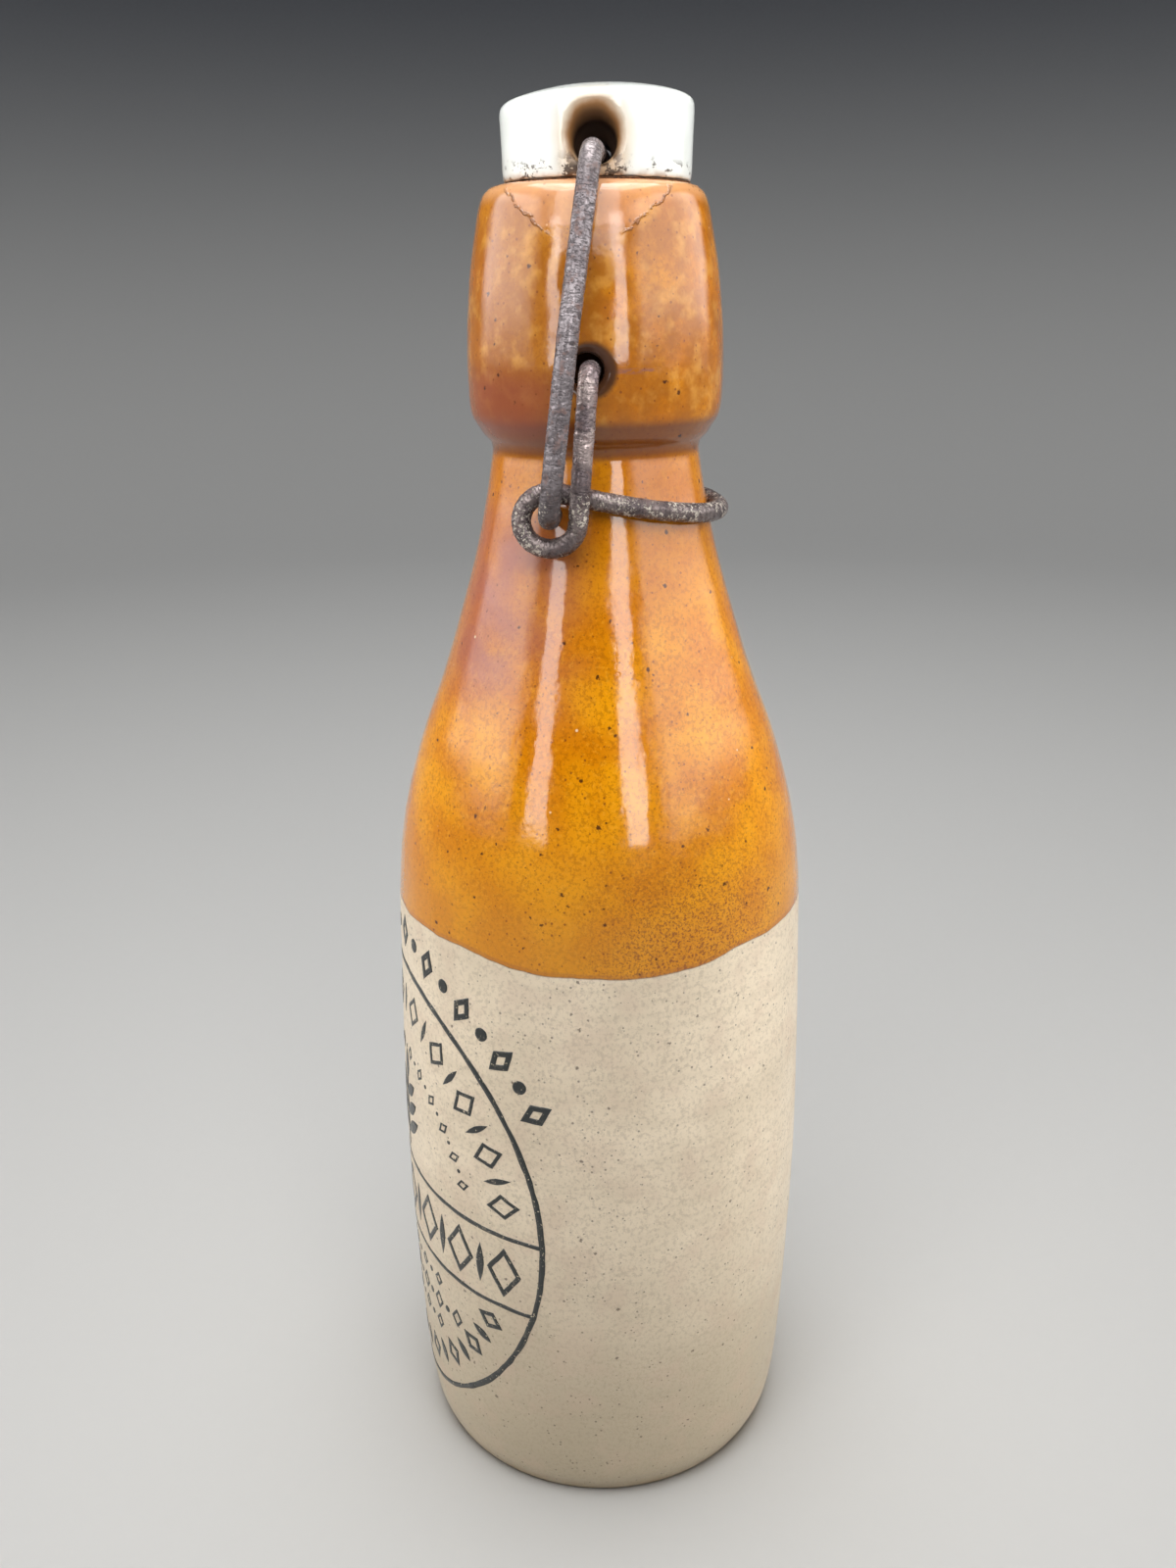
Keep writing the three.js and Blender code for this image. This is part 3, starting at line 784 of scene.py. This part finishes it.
def stopper_cutter():
    """The cross hole right through the head, flared and worn upwards at both mouths."""
    radius = STOPPER_HIGH.x - 0.1
    half = [
        (radius, HOLE_RADIUS - BORE_SILT, -BORE_SILT), (6.8, HOLE_RADIUS - BORE_SILT, -BORE_SILT),
        (5.2, HOLE_RADIUS - 0.1, -0.1), (4.6, HOLE_RADIUS, 0.0), (3.2, HOLE_RADIUS + 0.03, 0.1),
        (2.1, HOLE_RADIUS + 0.16, 0.3), (1.2, HOLE_RADIUS + 0.36, 0.45), (0.6, HOLE_RADIUS + 0.62, 0.55),
        (0.22, HOLE_RADIUS + 0.96, 0.6), (0.02, HOLE_RADIUS + 1.5, 0.6), (-0.15, HOLE_RADIUS + 2.1, 0.6),
        (-2.0, HOLE_RADIUS + 2.4, 0.6),
    ]
    profile = eased(half, 0.35)
    cutters = []
    for side in (1, -1):
        rings = [(depth, ring, HOLE_Z + lift) for depth, ring, lift in profile]
        cutters.append(bore(rings, side, CROSSBAR[0], radius, STOPPER_Y, segments=72))
    return cutters


def build_stopper():
    rows, slant = stopper_rows()
    points, faces = turned(rows, 160, STOPPER_Y)
    shoulder_z = STOPPER_HIGH.z - 2.6
    shaped = []
    for x, y, z in points:
        lift = rise_straight(z, HOLE_Z, shoulder_z) * slant * (y - STOPPER_Y)
        wave = 0.06 * grain(x, y, z, 6.0) * rise(z, HOLE_Z - 3, HOLE_Z)
        shaped.append((x * (1 + wave / STOPPER_HIGH.x), y, z + lift + 0.5 * wave))
    obj = mesh_object("stopper_head", shaped, faces, porcelain_material())
    cut(obj, stopper_cutter())
    return obj


def rise_straight(value, low, high):
    return min(1.0, max(0.0, (value - low) / (high - low)))


# ---------------------------------------------------------------- rubber seal


def build_seal():
    """The tapered ring in the mouth, squeezed out into a ragged lip under the head."""
    low, high = corners("rubber_seal")
    inner = 6.7
    top = high.z
    widest = high.x
    rows = eased([
        (inner, low.z), (widest - 2.3, low.z), (widest - 1.7, low.z + 0.7), (widest - 0.2, top - 0.6),
        (widest + 0.6, top - 0.18), (12.9, top - 0.18), (13.15, top - 0.04), (12.9, top + 0.08),
        (widest, top + 0.1), (inner, top + 0.08),
    ], 0.3, closed=True)
    segments = 144
    points = []
    for radius, z in rows:
        for j in range(segments):
            angle = math.tau * j / segments
            x, y = math.cos(angle), math.sin(angle)
            squeezed = rise(radius, widest - 0.2, 12.4)
            ragged = squeezed * (0.75 * grain(x * 13, y * 13, 3.0, 1.6) + 0.5 * grain(x * 13, y * 13, 9.0, 4.5))
            reach = radius + min(0.75, ragged)
            points.append((reach * x, STOPPER_Y + reach * y, z))
    faces = grid_faces(len(rows), segments, wrap_rows=True)
    return mesh_object("seal_ring", points, faces, rubber_material())


# ---------------------------------------------------------------- wires

WIRE_STEP = 0.24
WIRE_SIDES = 30
WIRE_END = 0.7  # length over which a cut end is rounded


def wire_frames(line):
    """Two directions square to the line at each of its points, without twist."""
    tangents = np.gradient(line, axis=0)
    tangents /= np.linalg.norm(tangents, axis=1)[:, None]
    side = np.cross(tangents[0], (0, 0, 1.0))
    side /= np.linalg.norm(side)
    sides = []
    for tangent in tangents:
        side = side - tangent * side.dot(tangent)
        side /= np.linalg.norm(side)
        sides.append(side.copy())
    sides = np.array(sides)
    return sides, np.cross(tangents, sides)


def wire_relief(angle, along, radius, roughness):
    """Pits and grooves of old wire, in millimetres, never more than a tenth outwards."""
    x, y = radius * math.cos(angle), radius * math.sin(angle)
    lumps = 0.05 * grain(x, y, along, 2.4)
    grooves = 0.06 * grain(x, y, along * 2.6 + 40, 0.85)
    pit = -0.16 * rise(grain(x, y, along * 1.5 + 90, 0.8), 0.28, 0.6)
    return min(0.08, (lumps + grooves + pit) * roughness)


def build_wire(name, line, radius, material, roughness, bend_wear=0.0):
    line = eased(line, WIRE_STEP)
    sides, ups = wire_frames(line)
    steps = np.linalg.norm(np.diff(line, axis=0), axis=1)
    along = np.concatenate([[0], np.cumsum(steps)])
    total = along[-1]
    points = []
    lengths = []
    rounds = []
    for centre, side, up, distance in zip(line, sides, ups, along):
        to_end = min(distance, total - distance)
        rounding = math.sqrt(max(0.0, 1 - max(0.0, 1 - to_end / WIRE_END) ** 2))
        scale = 0.35 + 0.65 * rounding
        for j in range(WIRE_SIDES):
            angle = math.tau * j / WIRE_SIDES
            reach = radius * scale + wire_relief(angle, distance, radius, roughness)
            points.append(centre + reach * (math.cos(angle) * side + math.sin(angle) * up))
            lengths.append(distance)
            rounds.append((radius * math.cos(angle), radius * math.sin(angle), 0.0))
    faces = grid_faces(len(line), WIRE_SIDES)
    last = (len(line) - 1) * WIRE_SIDES
    faces.append(tuple(range(WIRE_SIDES))[::-1])
    faces.append(tuple(range(last, last + WIRE_SIDES)))
    if not faces_outward(points, faces[0], line[0]):
        faces = [face[::-1] for face in faces]
    obj = mesh_object(name, points, faces, material)
    values = obj.data.attributes.new("along", "FLOAT", "POINT")
    values.data.foreach_set("value", lengths)
    vectors = obj.data.attributes.new("around", "FLOAT_VECTOR", "POINT")
    vectors.data.foreach_set("vector", np.array(rounds).ravel())
    return obj


def faces_outward(points, face, centre):
    a, b, c = (np.asarray(points[i]) for i in face[:3])
    return np.dot(np.cross(b - a, c - a), a - centre) > 0


def build_lever():
    line = wire_line("lever_wire", PIVOT, LEVER_RADIUS + 0.3)
    material = wire_material("lever_iron", linear(170, 154, 150), linear(112, 99, 101), lever_crust)
    return build_wire("lever_bent_wire", line, LEVER_RADIUS, material, 1.0)


def build_bail():
    line = wire_line("bail_wire", LINK, BAIL_RADIUS + 0.3)
    material = wire_material("bail_iron", linear(130, 122, 124), linear(98, 90, 92), bail_crust, bail_bare)
    return build_wire("bail_bent_wire", line, BAIL_RADIUS, material, 0.9)


# ---------------------------------------------------------------- printed label

LABEL_AZIMUTH = math.radians(-71.4)
LABEL_Z = 51.0
LABEL_RADIUS = 34.2
LABEL_TURN = math.radians(3.0)  # it was put on slightly crooked, falling to the right
OVAL = (35.3, 40.8)  # half width and half height
INK_PROUD = 0.05
INK_SUNK = 0.1


def wall_radius(azimuth, z):
    """Radius of the outside of the bottle, unevenness included."""
    rows = BOTTLE_ROWS[:OUTSIDE_ROWS]
    foot = int(np.argmax(rows[:, 1] > 0.5))
    return float(np.interp(z, rows[foot:, 1], rows[foot:, 0])) + unevenness(azimuth, z)


class Print:
    """Collects flat ornaments, given in mm right of and above the label's middle, and wraps
    them round the bottle as thin closed slabs."""

    def __init__(self):
        self.flat = []
        self.faces = []

    def add(self, points, faces):
        start = len(self.flat)
        self.flat += [tuple(p) for p in points]
        self.faces += [tuple(start + i for i in face) for face in faces]

    def stroke(self, path, width, closed=False):
        """A line of ink. Its width wavers a little, as a transfer print's does."""
        path = np.asarray(path, float)
        if closed:
            tangents = np.roll(path, -1, axis=0) - np.roll(path, 1, axis=0)
        else:
            tangents = np.gradient(path, axis=0)
        tangents /= np.linalg.norm(tangents, axis=1)[:, None]
        normals = np.stack([-tangents[:, 1], tangents[:, 0]], axis=1)
        points = []
        for (u, v), normal in zip(path, normals):
            half = width / 2 * (1 + 0.3 * grain(u, v, 5.0, 2.2))
            drift = 0.12 * grain(u, v, 15.0, 3.0)
            points += [(u, v) + normal * (drift + half), (u, v) + normal * (drift - half)]
        count = len(path)
        faces = []
        for i in range(count if closed else count - 1):
            a, b = 2 * i, 2 * ((i + 1) % count)
            faces.append((a, a + 1, b + 1, b))
        self.add(points, faces)

    def blot(self, middle, shape, tilt=0.0, hollow=0.0):
        """A filled or hollow ornament. shape(angle) is its radius; hollow is the share of it
        left clear."""
        sectors = 28
        start = hollow if hollow else 0.12
        rings = np.linspace(start, 1.0, 4)
        points = []
        for ring in rings:
            for j in range(sectors):
                angle = math.tau * j / sectors
                reach = ring * shape(angle) * (1 + 0.05 * grain(middle[0] + math.cos(angle), middle[1], angle, 0.7))
                turned_angle = angle + tilt
                points.append((middle[0] + reach * math.cos(turned_angle),
                               middle[1] + reach * math.sin(turned_angle)))
        faces = grid_faces(len(rings), sectors)
        if not hollow:
            faces.append(tuple(range(sectors))[::-1])
        self.add(points, [face[::-1] for face in faces])

    def place(self, u, v, proud):
        across = u * math.cos(LABEL_TURN) + v * math.sin(LABEL_TURN)
        z = LABEL_Z - u * math.sin(LABEL_TURN) + v * math.cos(LABEL_TURN)
        azimuth = LABEL_AZIMUTH + across / LABEL_RADIUS
        radius = wall_radius(azimuth, z) + proud
        return (radius * math.cos(azimuth), radius * math.sin(azimuth), z)

    def wrapped(self):
        count = len(self.flat)
        top = [self.place(u, v, INK_PROUD) for u, v in self.flat]
        bottom = [self.place(u, v, -INK_SUNK) for u, v in self.flat]
        upper = [self.facing_out(face) for face in self.faces]
        lower = [tuple(i + count for i in face[::-1]) for face in upper]
        edges = {(a, b) for face in upper for a, b in zip(face, face[1:] + face[:1])}
        sides = [(b, a, a + count, b + count) for a, b in sorted(edges) if (b, a) not in edges]
        return top + bottom, upper + lower + sides

    def facing_out(self, face):
        """The face wound anticlockwise as seen from outside."""
        corner_points = [self.flat[i] for i in face]
        following = corner_points[1:] + corner_points[:1]
        area = sum(a[0] * b[1] - a[1] * b[0] for a, b in zip(corner_points, following))
        return face if area > 0 else face[::-1]


def lozenge(half_width, half_height):
    def shape(angle):
        return 1 / (abs(math.cos(angle)) / half_width + abs(math.sin(angle)) / half_height)
    return shape


def dot(radius):
    return lambda angle: radius


def petal(half_width, half_height):
    """A pointed oval."""
    def shape(angle):
        across = (abs(math.cos(angle)) / half_width) ** 1.35
        up = (abs(math.sin(angle)) / half_height) ** 1.35
        return (across + up) ** (-1 / 1.35)
    return shape


def oval_path(half_width, half_height, start=0.0, end=360.0, step=0.8):
    """Points along an oval, from one angle to another in degrees."""
    length = math.radians(abs(end - start)) * (half_width + half_height) / 2
    angles = np.radians(np.linspace(start, end, max(4, round(length / step))))
    return np.stack([half_width * np.cos(angles), half_height * np.sin(angles)], axis=1)


def spaced(half_width, half_height, start, end, count):
    """Evenly spaced places along part of an oval, each with the tilt of an ornament that
    stands up from it."""
    path = oval_path(half_width, half_height, start, end, 0.2)
    lengths = np.concatenate([[0], np.cumsum(np.linalg.norm(np.diff(path, axis=0), axis=1))])
    for distance in np.linspace(0, lengths[-1], count):
        u = float(np.interp(distance, lengths, path[:, 0]))
        v = float(np.interp(distance, lengths, path[:, 1]))
        slope = math.atan2(v / half_height ** 2, u / half_width ** 2)
        yield (u, v), slope - math.pi / 2


def across_oval(v, margin=0.0):
    """Where a level line at height v meets the oval."""
    return OVAL[0] * math.sqrt(1 - (v / OVAL[1]) ** 2) - margin


def level_line(v, margin=0.0):
    half = across_oval(v, margin)
    return np.array([(u, v) for u in np.linspace(-half, half, round(2 * half / 0.8))])


def row_of_marks(ink, v, half_length, count, tall, wide, width_share):
    """A row of small lozenges with dots between them."""
    for i, u in enumerate(np.linspace(-half_length, half_length, count)):
        if i % 2:
            ink.blot((u, v), dot(wide * 0.42))
        else:
            ink.blot((u, v), lozenge(wide, tall / 2), hollow=width_share)


def sprig(ink, middle):
    """A sprig of leaves: a stem with pairs of leaves and one at the tip."""
    u0, v0 = middle
    ink.stroke([(u0, v0 + t) for t in np.linspace(-8.0, 6.5, 22)], 0.7)
    for i, rise_up in enumerate((-4.6, -0.8, 3.0)):
        length = 4.2 - 0.6 * i
        for side in (-1, 1):
            tilt = side * math.radians(-52)
            centre = (u0 + side * length * 0.72, v0 + rise_up + length * 0.5)
            ink.blot(centre, petal(1.15, length / 1.15), tilt)
    ink.blot((u0, v0 + 8.4), petal(1.2, 3.0))


def build_label():
    ink = Print()
    ink.stroke(oval_path(*OVAL)[:-1], 0.95, closed=True)
    upper, lower = 3.2, -11.0
    for v in (upper, lower):
        ink.stroke(level_line(v, 0.4), 0.75)

    for i, (place, tilt) in enumerate(spaced(41.3, 46.8, 36, 144, 17)):
        if i % 2:
            ink.blot(place, dot(1.15))
        else:
            ink.blot(place, lozenge(1.9, 3.0), tilt, hollow=0.42)
    for i, (place, tilt) in enumerate(spaced(29.2, 34.4, 15, 165, 19)):
        if i % 2:
            ink.blot(place, petal(0.55, 2.7), tilt)
        else:
            ink.blot(place, lozenge(2.3, 3.1), tilt, hollow=0.66)
    for i, (place, tilt) in enumerate(spaced(21.5, 25.0, 22, 158, 23)):
        if i % 2:
            ink.blot(place, dot(0.36), tilt)
        else:
            ink.blot(place, lozenge(0.95, 1.5), tilt, hollow=0.55)
    sprig(ink, (0.0, 13.0))

    middle = (upper + lower) / 2
    for i, u in enumerate(np.linspace(-28.5, 28.5, 13)):
        if i % 2:
            ink.blot((u, middle), petal(0.8, 4.0))
        else:
            ink.blot((u, middle), lozenge(3.3, 5.0), hollow=0.7)
    row_of_marks(ink, -15.2, 12.0, 9, 3.0, 1.3, 0.5)
    row_of_marks(ink, -20.0, 17.5, 13, 4.0, 1.5, 0.6)
    row_of_marks(ink, -25.0, 11.5, 9, 3.4, 1.3, 0.55)
    for i, (place, tilt) in enumerate(spaced(28.6, 34.6, -154, -26, 17)):
        if i % 2:
            ink.blot(place, petal(0.85, 2.3), tilt)
        else:
            ink.blot(place, lozenge(1.9, 2.7), tilt, hollow=0.5)
    points, faces = ink.wrapped()
    return mesh_object("label_print", points, faces, ink_material())


# ---------------------------------------------------------------- studio


def build_sweep():
    """A round studio sweep: a flat floor that curves up into a wall all the way round."""
    flat, bend, top = 900.0, 700.0, 1500.0
    rows = [(0.0, 0.0), (200.0, 0.0), (500.0, 0.0), (flat, 0.0)]
    for angle in np.linspace(0, math.pi / 2, 16)[1:]:
        rows.append((flat + bend * math.sin(angle), bend * (1 - math.cos(angle))))
    rows.append((flat + bend, top))
    rows = np.array(rows)
    segments = 96
    points = [(0.0, 0.0, 0.0)]
    for radius, z in rows[1:]:
        for j in range(segments):
            angle = math.tau * j / segments
            points.append((radius * math.cos(angle), radius * math.sin(angle), z))
    faces = [(0, 1 + j, 1 + (j + 1) % segments) for j in range(segments)]
    for face in grid_faces(len(rows) - 1, segments):
        faces.append(tuple(i + 1 for i in face[::-1]))
    sweep = mesh_object("studio_sweep", points, faces, sweep_material())
    return sweep


def softbox(name, bearing, spread, low, high, radiance, fade, lights_up=True, shines=True):
    """An upright light panel. Its bearing and spread are in degrees about the camera's side,
    and low and high are the elevations it spans, seen from the bottle's shoulder."""
    eye_level, distance = 160.0, 700.0
    toward = math.atan2(CAMERA_PLACE.y, CAMERA_PLACE.x) + math.radians(bearing)
    bottom = eye_level + distance * math.tan(math.radians(low))
    top = eye_level + distance * math.tan(math.radians(high))
    middle = Vector((distance * math.cos(toward), distance * math.sin(toward), (bottom + top) / 2))
    width = 2 * distance * math.tan(math.radians(spread / 2))
    facing = Vector((-math.cos(toward), -math.sin(toward), 0))
    light = panel(name, middle, facing, width, top - bottom, radiance, fade)
    light.visible_diffuse = lights_up
    light.visible_glossy = shines
    return light


def panel(name, middle, direction, width, height, radiance, fade):
    """A light panel that the camera doesn't see, facing a direction. It dims towards its edges
    over the given shares of its width and height."""
    light = bpy.data.lights.new(name, "AREA")
    light.shape = "RECTANGLE"
    light.size = width * MM
    light.size_y = height * MM
    light.energy = radiance * math.pi * light.size * light.size_y
    dim_edges(light, fade)
    obj = bpy.data.objects.new(name, light)
    obj.location = middle * MM
    obj.rotation_euler = direction.to_track_quat("-Z", "Y").to_euler()
    obj.visible_camera = False
    bpy.context.scene.collection.objects.link(obj)
    return obj


def dim_edges(light, fade):
    light.use_nodes = True
    nodes, links = light.node_tree.nodes, light.node_tree.links
    place = nodes.new("ShaderNodeNewGeometry").outputs["Parametric"]
    split = nodes.new("ShaderNodeSeparateXYZ")
    links.new(place, split.inputs[0])
    product = None
    for axis, share in zip((0, 1), fade):
        fold = nodes.new("ShaderNodeMath")
        fold.operation = "PINGPONG"  # the distance to the nearer edge
        fold.inputs[1].default_value = 0.5
        links.new(split.outputs[axis], fold.inputs[0])
        ramp = nodes.new("ShaderNodeMapRange")
        ramp.interpolation_type = "SMOOTHSTEP"
        ramp.inputs["From Max"].default_value = share
        links.new(fold.outputs[0], ramp.inputs["Value"])
        if product is None:
            product = ramp.outputs[0]
        else:
            times = nodes.new("ShaderNodeMath")
            times.operation = "MULTIPLY"
            links.new(product, times.inputs[0])
            links.new(ramp.outputs[0], times.inputs[1])
            product = times.outputs[0]
    links.new(product, nodes["Emission"].inputs["Strength"])


def light_only(light, receivers):
    group = bpy.data.collections.new(light.name + "_lights")
    for obj in receivers:
        group.objects.link(obj)
    light.light_linking.receiver_collection = group


def build_lights(parts, sweep):
    softbox("strip_left", -37, 14, 2, 27, 6.0, (0.12, 0.1), lights_up=False)
    softbox("strip_right", 22, 16, 2, 27, 6.6, (0.12, 0.1), lights_up=False)
    sides = [
        softbox("side_left", -88, 74, -4, 44, 3.4, (0.24, 0.3)),
        softbox("side_right", 80, 96, -4, 44, 3.0, (0.2, 0.3)),
        softbox("fill_left", -100, 80, -8, 40, 1.2, (0.3, 0.3), shines=False),
        softbox("fill_right", 95, 80, -8, 40, 1.2, (0.3, 0.3), shines=False),
    ]
    for light in sides:
        light_only(light, parts)
    wash = panel("floor_wash", Vector((0.0, 0.0, 1450.0)), Vector((0, 0, -1)), 1800.0, 1800.0, 3.0, (0.4, 0.4))
    light_only(wash, [sweep])
    softbox("back", 180, 60, 38, 58, 0.9, (0.3, 0.3))
    panel("over_camera", Vector((175.0, -14.0, 398.0)), Vector((-0.97, 0, -0.24)), 264.0, 270.0, 3.6, (0.03, 0.015))
    panel("overhead", Vector((0.0, 0.0, 800.0)), Vector((0, 0, -1)), 420.0, 420.0, 3.4, (0.1, 0.1))
    top_shine = panel("top_shine", Vector((0.0, 0.0, 500.0)), Vector((0, 0, -1)), 400.0, 400.0, 4.6, (0.1, 0.1))
    top_shine.visible_diffuse = False
    world = bpy.data.worlds.new("studio_air")
    world.use_nodes = True
    background = world.node_tree.nodes["Background"]
    background.inputs["Color"].default_value = linear(150, 155, 163)
    background.inputs["Strength"].default_value = 0.36
    bpy.context.scene.world = world


def build_camera():
    bearing = math.radians(CAMERA_BEARING)
    pitch = math.radians(CAMERA_PITCH)
    roll = math.radians(CAMERA_ROLL)
    level = Vector((-math.sin(bearing), math.cos(bearing), 0))
    up = Vector((0, 0, 1))
    right = level.cross(up)
    forward = level * math.cos(pitch) - up * math.sin(pitch)
    down = -up * math.cos(pitch) - level * math.sin(pitch)
    side = right * math.cos(roll) + down * math.sin(roll)
    top = right * math.sin(roll) - down * math.cos(roll)
    data = bpy.data.cameras.new("camera")
    data.sensor_fit = "VERTICAL"
    data.sensor_height = 36.0
    data.lens = CAMERA_LENS
    data.clip_start = 0.005
    camera = bpy.data.objects.new("camera", data)
    turn = Matrix((side, top, -forward)).transposed().to_4x4()
    camera.matrix_world = Matrix.Translation(CAMERA_PLACE * MM) @ turn
    bpy.context.scene.collection.objects.link(camera)
    bpy.context.scene.camera = camera


# ---------------------------------------------------------------- assembly

parts = []
for build, node, body, slot in (
    (build_bottle, "stoneware_bottle", "bottle", "stoneware"),
    (build_stopper, "porcelain_stopper", "stopper", "porcelain"),
    (build_seal, "rubber_seal", "stopper", "rubber"),
    (build_lever, "lever_wire", "lever", "lever_steel"),
    (build_bail, "bail_wire", "bail", "bail_steel"),
):
    part = build()
    parts.append(part)
    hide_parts(node)
    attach(part, body)

label = build_label()
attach(label, "bottle")
parts.append(label)

sweep = build_sweep()
build_lights(parts, sweep)
build_camera()
bpy.context.scene.view_settings.view_transform = "Standard"
